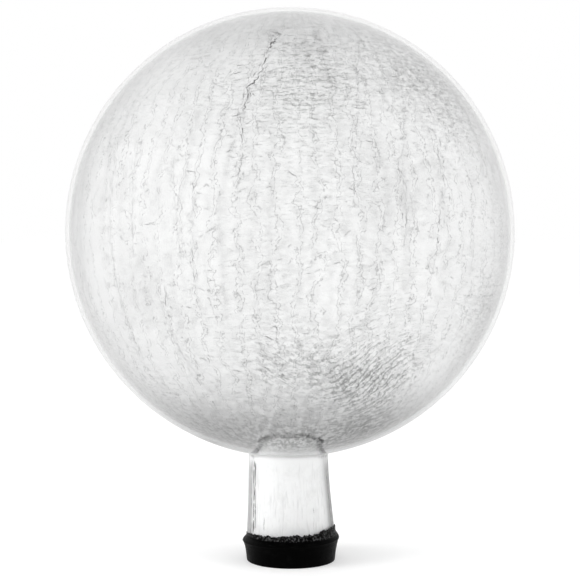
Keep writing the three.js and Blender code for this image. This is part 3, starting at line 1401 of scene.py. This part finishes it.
@dataclass(frozen=True)
class RubberCap:
    """The push-on rubber cap: foot, bowed skirt, crease, flared lip and hollow plug."""

    middle: float = 0.0005
    floor: float = 0.0032
    seat_height: float = 0.0077
    foot_radius: float = 0.0254
    foot_edge: float = 0.0008
    bore_radius: float = 0.0254
    crease_radius: float = 0.0266
    crease_height: float = 0.009
    crease_step: float = 0.0002
    crease_width: float = 0.0005
    lip_radius: float = 0.0278
    lip_height: float = 0.0123
    lip_tip_height: float = 0.0007
    mouth_height: float = 0.0153
    mouth_edge: float = 0.0004
    mouth_skew: float = 0.0026
    feather_wall: float = 0.00025
    feather_rise: float = 0.003
    feather_waves: tuple[Point, ...] = ((6, 0.5, 0.25), (26, 3.5, 0.3))
    feather_least: float = 0.1
    feather_back: float = 0.4
    feather_more: Pair = (0.6, 0.5)
    feather_front: Pair = (-0.3, 0.5)
    feather_right: Pair = (0.45, 0.95)
    feather_steps: int = 4
    feather_hem: float = 0.96
    neck_rim_radius: float = 0.0251
    plug_radius: float = 0.0215
    plug_wall: float = 0.0026
    plug_top: float = 0.01
    plug_chamfer: float = 0.0006
    bow_share: float = 0.62
    lip_bow_share: float = 0.45
    turns: int = 360
    curve_steps: int = 10
    sharp_from: float = math.radians(50)
    finish: RubberFinish = RubberFinish()

    def section(self) -> Section:
        """The cap's section from the middle of its foot round to the middle of its floor."""
        crease = (self.crease_radius, self.crease_height)
        step = (self.crease_radius + self.crease_step, self.crease_height + self.crease_width)
        lip = (self.lip_radius, self.lip_height)
        recess = self.plug_radius - self.plug_wall
        mouth = (self.bore_radius + self.mouth_edge, self.mouth_height)
        points: Section = [(0.0, 0.0), (self.foot_radius / 2, 0.0),
                           (self.foot_radius - self.foot_edge, 0.0)]

        def curve(control: Pair, end: Pair) -> None:
            """Adds a curve to the section."""
            points.extend(quadratic(points[-1], control, end, self.curve_steps))

        curve((self.foot_radius, 0.0), (self.foot_radius, self.foot_edge))
        curve((lerp(self.foot_radius, self.crease_radius, 1 - self.bow_share),
               self.crease_height * self.bow_share), crease)
        points.append(step)
        curve((lerp(step[0], lip[0], self.lip_bow_share), lip[1] - self.lip_tip_height), lip)
        curve((lip[0], lip[1] + self.lip_tip_height), mouth)
        feather = self.bore_radius + self.feather_wall
        for share in (0.0, *shares(self.feather_steps)):
            points.append((lerp(feather, self.bore_radius, share / 2),
                           self.mouth_height + share * self.feather_rise))
        points += [
            (self.bore_radius, self.mouth_height + self.feather_rise * self.feather_hem),
            (self.bore_radius, self.mouth_height - self.mouth_edge),
            (self.bore_radius, self.seat_height),
            (self.plug_radius, self.seat_height),
            (self.plug_radius, self.plug_top - self.plug_chamfer),
            (self.plug_radius - self.plug_chamfer, self.plug_top),
            (recess, self.plug_top),
        ]
        curve((recess, self.floor), (recess - self.plug_wall, self.floor))
        return [*points, (0.0, self.floor)]

    def feather(self, angle: float) -> float:
        """Height of the ragged thin mouth edge at an angle, as a share of its usual rise."""
        x, y = math.cos(angle), math.sin(angle)
        front, right = self.feather_more
        share = self.feather_back + front * smoothstep(-y, *self.feather_front)
        share += right * smoothstep(x, *self.feather_right)
        for rate, seed, height in self.feather_waves:
            share += height * noise.noise((rate * x, rate * y, seed))
        return max(share, self.feather_least)

    def place(self, radius: float, height: float, angle: float) -> Point:
        """Row-frame place of a point: the skirt's mouth stands higher on the right."""
        across = radius * math.cos(angle)
        above = max(height - self.mouth_height, 0.0)
        height = min(height, self.mouth_height)
        if radius > self.neck_rim_radius:
            rise = clamp((height - self.seat_height) / (self.mouth_height - self.seat_height))
            height += self.mouth_skew / 2 * across / self.lip_radius * rise
        return across + self.middle, radius * math.sin(angle), height + above * self.feather(angle)

    def build(self, effects: Effects) -> None:
        """Builds the cap and dresses it.

        Args:
            effects: The shared effects.
        """
        piece = turned_mesh("rubber_boot", self.section(), self.turns, self.place)
        piece.data.set_sharp_from_angle(angle=self.sharp_from)
        finishes = [self.finish.material(effects)]
        settle(piece, Body.CAP, Slot.BLACK_RUBBER, finishes, "rubber_cap")


@dataclass(frozen=True)
class Studio:
    """The camera, the pale floor, the world and the soft lamps.

    A glow is the way towards a brighter part of the room and how much brighter it is. A lamp is
    its name, place, breadth and power.
    """

    camera_place: Point = (0, -0.839, 0.1874)
    camera_pitch: float = math.radians(2.21)
    camera_reach: Pair = (0.01, 200)
    focal_length: float = 91.16
    sensor_width: float = 36.0
    floor_half: float = 30.0
    floor_tone: float = 0.8
    floor_glow: float = 0.3
    floor_mirrored: Colour = (0.05, 0.4, 0.8, 1.0)
    plain_level: float = 0.9
    bright_until: float = math.sin(math.radians(38))
    dim_zenith: float = 0.6
    open_side_dim: float = 0.05
    open_side_depth: Pair = (-1.0, 0.1)
    globe_height: float = 0.187
    glows: tuple[tuple[Point, float], ...] = (
        ((-1, 0, 0), 0.18),
        ((1, 0, 0), 0.08),
        ((0, 1, 0), 0.08),
        ((0, -1, 0), 0.1),
    )
    glow_from: float = 0.5
    lamps: tuple[tuple[str, Point, float, float], ...] = (
        ("left_softbox", (-1.9, -0.7, 0.5), 2.0, 125),
        ("right_softbox", (1.9, -0.9, 0.5), 1.8, 72),
    )
    lamp_aim: Point = (0, 0, 0.17)

    def build(self) -> None:
        """Builds the whole studio and shows colours as they are."""
        bpy.context.scene.view_settings.view_transform = "Standard"
        self.add_camera()
        self.add_floor()
        self.set_world()
        for lamp in self.lamps:
            self.add_lamp(*lamp)

    def add_camera(self) -> None:
        """Adds the camera at the photograph's angle."""
        camera = bpy.data.cameras.new("camera")
        camera.lens = self.focal_length
        camera.sensor_width = self.sensor_width
        camera.dof.use_dof = False
        camera.clip_start, camera.clip_end = self.camera_reach
        mount = add_object("camera", camera)
        mount.location = self.camera_place
        mount.rotation_euler = (QUARTER_TURN - self.camera_pitch, 0, 0)
        bpy.context.scene.camera = mount

    def add_floor(self) -> None:
        """Adds the pale floor, which keeps the object's shadow.

        It goes down with the cap's foot, so a pulled cap stays in sight and stands on it.
        """
        half = self.floor_half
        corners = [(-half, -half, 0), (half, -half, 0), (half, half, 0), (-half, half, 0)]
        floor = add_mesh("floor", corners, [(0, 1, 2, 3)])
        wires = Surface("pale_floor")
        seen, mirror = self.rays(wires)
        tone = (1.0 - mirror) * self.floor_tone
        paint = wires.node("BsdfDiffuse", {"Color": wires.grey(tone)})
        away = wires.vector("LENGTH", wires.place, output="Value")
        way = wires.vector("NORMALIZE", wires.place - (0, 0, self.globe_height))
        mirrored = wires.ramp(away, *self.floor_mirrored) * self.room(wires, way, mirror)
        level = seen * wires.blend(mirror, self.floor_glow, mirrored)
        glow = self.light(wires, "Emission", level)
        floor.data.materials.append(wires.end(wires.node("AddShader", {0: paint, 1: glow})))
        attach(floor, Body.CAP.value)

    def set_world(self) -> None:
        """Sets a world that is white round the horizon and dims towards the zenith."""
        world = bpy.data.worlds.new("studio")
        world.use_nodes = True
        bpy.context.scene.world = world
        wires = Wiring(world.node_tree)
        seen, mirror = self.rays(wires)
        way = wires.node("TexCoord", output="Generated")
        shown = wires.ramp(wires.part(way, "Z"), self.bright_until, 1.0, 1.0, self.dim_zenith)
        level = wires.blend(seen, self.plain_level, shown * self.room(wires, way, mirror))
        wires.add("OutputWorld", {"Surface": self.light(wires, "Background", level)})

    @staticmethod
    def light(wires: Wiring, kind: str, strength: Signal) -> Signal:
        """White light of a strength, from a surface or the world."""
        return wires.node(kind, {"Color": grey(1), "Strength": strength})

    @staticmethod
    def rays(wires: Wiring) -> tuple[Signal, Signal]:
        """Masks of rays that see a thing, straight or by glass or mirror, and of mirrored ones."""
        straight = wires.node("LightPath", output="Is Camera Ray")
        mirror = straight.other("Is Glossy Ray")
        seen = wires.math("MAXIMUM", straight, mirror)
        return wires.math("MAXIMUM", seen, straight.other("Is Transmission Ray")), mirror

    def room(self, wires: Wiring, way: Signal, mirror: Signal) -> Signal:
        """Level of the room in reflections: its open side is dimmer.

        Args:
            wires: The wiring of the floor or the world.
            way: The direction from the middle of the room.
            mirror: The mask of mirrored rays.

        Returns:
            The level, 1 for rays that aren't reflections.
        """
        depth = wires.part(way, "Y")
        level = wires.ramp(depth, *self.open_side_depth, 1 - self.open_side_dim, 1.0)
        for towards, strength in self.glows:
            near = wires.vector("DOT_PRODUCT", way, towards, output="Value")
            level = level + wires.ramp(near, self.glow_from, 1.0) * strength
        return wires.blend(mirror, 1.0, level)

    def add_lamp(self, name: str, place: Point, breadth: float, power: float) -> None:
        """Adds one soft round lamp that faces the globe and fades towards its edge.

        Args:
            name: The lamp's name.
            place: Where it stands.
            breadth: Its width and height.
            power: Its power in watts.
        """
        lamp = bpy.data.lights.new(name, "AREA")
        lamp.shape = "ELLIPSE"
        lamp.size = lamp.size_y = breadth
        lamp.energy = power
        lamp.use_nodes = True
        wires = Wiring(lamp.node_tree)
        across = wires.node("NewGeometry", output="Parametric")
        away = wires.vector("DISTANCE", across, (0.5, 0.5, 0), output="Value")
        light = self.light(wires, "Emission", wires.ramp(away, 0.5, 0.0))
        wires.add("OutputLight", {"Surface": light})
        mount = add_object(name, lamp)
        mount.location = place
        mount.visible_glossy = False
        mount.visible_transmission = False
        aim = Vector(self.lamp_aim) - Vector(place)
        mount.rotation_euler = aim.to_track_quat("-Z", "Y").to_euler()


def write_sizes() -> None:
    """Brings the view layer's placements up to date."""
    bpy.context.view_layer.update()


def main() -> None:
    """Builds the studio and the object."""
    logging.basicConfig(level=logging.INFO, format="%(name)s: %(message)s")
    Studio().build()
    effects = Effects()
    glass = BlownGlass()
    GlassGlobe(glass).build(effects)
    CrackleLayer(glass).build(effects)
    RubberCap().build(effects)
    write_sizes()


if __name__ == "__main__":
    main()
